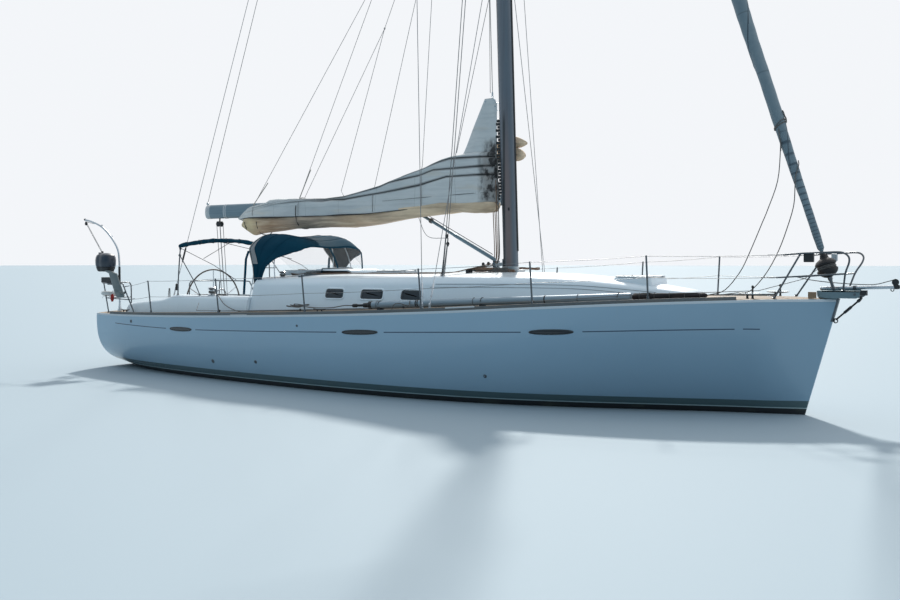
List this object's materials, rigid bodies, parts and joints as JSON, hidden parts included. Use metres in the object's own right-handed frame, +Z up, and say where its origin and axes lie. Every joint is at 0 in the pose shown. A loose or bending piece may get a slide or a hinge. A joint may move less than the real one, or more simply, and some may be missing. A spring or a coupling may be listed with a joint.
{
  "type": "sailing yacht",
  "caption": "Sloop-rigged cruising yacht with fin keel, spade rudder, furled sails, teak decks, sprayhood, guard rails and a swinging boom.",
  "frame": {"origin": "amidships of the hull's length, on the centreline, on the waterline plane", "axes": "+X to the bow, +Y to port, +Z up"},
  "size_m": [16.0966, 4.4, 23.31],
  "materials": {
    "gelcoat": "glossy white gelcoat, cool in the shade",
    "roof": "white gelcoat with satin non-slip panels",
    "teak": "weathered teak planks, matte",
    "dark_teak": "dark oiled rail, satin",
    "antifoul_iron": "black antifouling paint, matte",
    "bronze": "sea-worn bronze",
    "spar": "grey-blue anodised",
    "steel": "polished stainless steel",
    "wire": "stranded stainless wire",
    "sailcloth": "cream woven cloth, matte",
    "uv_cloth": "grey-blue sun strip cloth, matte",
    "navy_canvas": "dark blue acrylic canvas",
    "black_plastic": "black plastic and alloy, satin",
    "leather": "tan stitched leather",
    "tinted": "dark tinted acrylic",
    "engine_paint": "grey enamel",
    "pole_alloy": "pale anodised tube",
    "bag_cloth": "dark brown rolled cloth"
  },
  "bodies": {
    "hull_and_rig": {"hull": "gelcoat", "deck": "teak", "coachroof": "roof", "window_port_1": "tinted", "window_port_2": "tinted", "window_port_3": "tinted", "window_starboard_1": "tinted", "window_starboard_2": "tinted", "window_starboard_3": "tinted", "cockpit": "roof", "keel": "antifoul_iron", "saildrive": "antifoul_iron", "engine": "engine_paint", "toe_rail_port": "dark_teak", "toe_rail_starboard": "dark_teak", "mast": "spar", "spreaders_lower": "spar", "spreaders_upper": "spar", "shrouds_port": "wire", "shrouds_starboard": "wire", "backstay": "wire", "furled_genoa": "uv_cloth", "forestay_head": "wire", "bow_fitting": "steel", "furler_drum": "black_plastic", "pedestal": "roof", "mainsheet_traveller": "black_plastic", "winch_primary_port": "steel", "winch_primary_starboard": "steel", "winch_halyard_port": "steel", "winch_halyard_starboard": "steel", "pushpit_port": "steel", "pushpit_starboard": "steel", "pulpit_port": "steel", "pulpit_starboard": "steel", "lifelines_port": "steel", "lifelines_starboard": "steel", "sprayhood": "navy_canvas", "sprayhood_frame": "steel", "bimini_cover": "navy_canvas", "bimini_leg_port": "steel", "bimini_leg_starboard": "steel", "deck_pole": "pole_alloy", "pole_bag": "bag_cloth", "davit_socket": "steel", "outboard": "black_plastic"},
    "boom": {"boom": "spar", "vang": "spar", "mainsail": "sailcloth"},
    "rudder": {"rudder": "antifoul_iron"},
    "propeller": {"propeller": "bronze"},
    "wheel": {"steering_wheel": "leather"},
    "anchor_lid": {"anchor_locker_lid": "teak"},
    "saloon_hatch_lid": {"saloon_hatch": "tinted"},
    "fore_hatch_lid": {"fore_hatch": "tinted"},
    "companionway_lid": {"companionway_hatch": "tinted"},
    "locker_lid_p": {"locker_lid_port": "teak"},
    "locker_lid_s": {"locker_lid_starboard": "teak"},
    "davit_arm": {"davit": "steel"}
  },
  "joints": [
    {"name": "boom_swing", "type": "hinge", "parent": "hull_and_rig", "child": "boom", "pos_m": [1.62, 0, 3.21], "axis": [0, 0, 1], "range_deg": [-70, 70]},
    {"name": "rudder_turn", "type": "hinge", "parent": "hull_and_rig", "child": "rudder", "pos_m": [-6.15, 0, -0.3], "axis": [0, 0, 1], "range_deg": [-35, 35]},
    {"name": "wheel_turn", "type": "hinge", "parent": "hull_and_rig", "child": "wheel", "pos_m": [-5.45, 0, 1.27], "axis": [1, 0, 0], "range_deg": [-280, 280]},
    {"name": "propeller_spin", "type": "hinge", "parent": "hull_and_rig", "child": "propeller", "pos_m": [-2.44, 0, -0.99], "axis": [1, 0, 0], "continuous": true},
    {"name": "anchor_lid_hinge", "type": "hinge", "parent": "hull_and_rig", "child": "anchor_lid", "pos_m": [5.602, 0, 1.677], "axis": [0, -1, 0], "range_deg": [0, 90]},
    {"name": "saloon_hatch_hinge", "type": "hinge", "parent": "hull_and_rig", "child": "saloon_hatch_lid", "pos_m": [-0.245, 0, 2.021], "axis": [0, 1, 0], "range_deg": [0, 90]},
    {"name": "fore_hatch_hinge", "type": "hinge", "parent": "hull_and_rig", "child": "fore_hatch_lid", "pos_m": [4.565, 0, 1.956], "axis": [0, 1, 0], "range_deg": [0, 90]},
    {"name": "companionway_slide", "type": "slide", "parent": "hull_and_rig", "child": "companionway_lid", "axis": [1, 0, 0], "range_m": [0, 0.75]},
    {"name": "locker_lid_port_hinge", "type": "hinge", "parent": "hull_and_rig", "child": "locker_lid_p", "pos_m": [-4, 0.882, 1.082], "axis": [-1, 0, 0], "range_deg": [0, 85]},
    {"name": "locker_lid_starboard_hinge", "type": "hinge", "parent": "hull_and_rig", "child": "locker_lid_s", "pos_m": [-4, -0.882, 1.082], "axis": [1, 0, 0], "range_deg": [0, 85]},
    {"name": "davit_swivel", "type": "hinge", "parent": "hull_and_rig", "child": "davit_arm", "pos_m": [-6.9, -1.25, 1.2], "axis": [0, 0, 1], "range_deg": [-120, 120]}
  ],
  "couplings": [
    {"joint": "wheel_turn", "follows": "rudder_turn", "ratio": 8}
  ]
}
